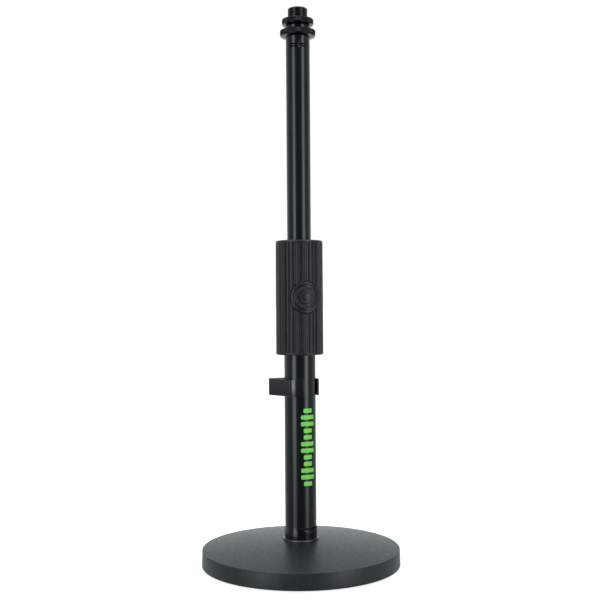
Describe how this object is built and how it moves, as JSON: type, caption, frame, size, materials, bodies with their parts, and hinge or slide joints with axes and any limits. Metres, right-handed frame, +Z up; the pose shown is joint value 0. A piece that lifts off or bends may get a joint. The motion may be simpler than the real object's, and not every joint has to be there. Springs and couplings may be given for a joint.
{
  "type": "desktop mic stand",
  "caption": "Desktop microphone stand with a weighted round base, a telescoping mast held by a twist clutch, a cable clip and a threaded top.",
  "frame": {"origin": "on the tube's axis, in the plane that the rubber ring under the base rests on", "axes": "+Z up along the tube, -Y towards the front, +X to the right seen from the front"},
  "size_m": [0.16, 0.16, 0.4502],
  "materials": {
    "base_coat": "fine textured black powder coat",
    "base_rubber": "matt black rubber",
    "washer_steel": "blackened steel",
    "zinc_insert": "plain zinc casting",
    "tube_coat": "smooth gloss black enamel",
    "mark_green": "bright green screen print",
    "bushing_plastic": "natural acetal",
    "clip_plastic": "black springy plastic",
    "clutch_metal": "black anodised",
    "grip_rubber": "matt moulded rubber, upright flutes",
    "badge_rubber": "smooth moulded rubber",
    "spring_steel": "oiled spring steel",
    "thread_coat": "black finish on a cut thread",
    "knurl_coat": "dark gloss finish, finely knurled edge"
  },
  "bodies": {
    "stand": {"base_casting": "base_coat", "base_rubber_ring": "base_rubber", "foot_washer": "washer_steel", "foot_insert": "zinc_insert", "lower_tube": "tube_coat", "tube_marking": "mark_green", "mouth_bushing": "bushing_plastic", "clutch_body": "zinc_insert", "clutch_pins": "washer_steel", "clutch_collet": "bushing_plastic"},
    "cable_clip": {"cable_clip": "clip_plastic"},
    "thrust_ring": {"thrust_ring": "bushing_plastic"},
    "clutch_nut": {"clutch_nut": "clutch_metal", "nut_end_ring": "clip_plastic", "wiper_ring": "clip_plastic", "grip_sleeve": "grip_rubber", "grip_badge": "badge_rubber"},
    "mast_slider": {"guide_bushing": "bushing_plastic"},
    "mast": {"stop_ring": "spring_steel", "mast_end_plug": "clip_plastic", "upper_tube": "tube_coat", "thread_insert": "thread_coat", "top_collar": "knurl_coat"},
    "lock_washer": {"lock_washer": "washer_steel"},
    "lock_nut": {"lock_nut": "knurl_coat"}
  },
  "joints": [
    {"name": "clip_slide", "type": "slide", "parent": "stand", "child": "cable_clip", "axis": [0, 0, 1], "range_m": [-0.102, 0.018]},
    {"name": "clutch_twist", "type": "hinge", "parent": "thrust_ring", "child": "clutch_nut", "pos_m": [0, 0, 0.216], "axis": [0, 0, 1], "range_deg": [0, 270]},
    {"name": "clutch_advance", "type": "slide", "parent": "stand", "child": "thrust_ring", "axis": [0, 0, 1], "range_m": [0, 0.00112]},
    {"name": "mast_height", "type": "slide", "parent": "stand", "child": "mast_slider", "axis": [0, 0, 1], "range_m": [-0.158, 0]},
    {"name": "mast_spin", "type": "hinge", "parent": "mast_slider", "child": "mast", "pos_m": [0, 0, 0.208], "axis": [0, 0, 1], "continuous": true},
    {"name": "lock_nut_spin", "type": "hinge", "parent": "lock_washer", "child": "lock_nut", "pos_m": [0, 0, 0.4392], "axis": [0, 0, 1], "range_deg": [0, 720]},
    {"name": "lock_nut_advance", "type": "slide", "parent": "mast", "child": "lock_washer", "axis": [0, 0, 1], "range_m": [0, 0.00188]}
  ],
  "couplings": [
    {"joint": "clutch_twist", "follows": "clutch_advance", "rad_per_m": 4188.8},
    {"joint": "lock_nut_spin", "follows": "lock_nut_advance", "rad_per_m": 6679}
  ]
}
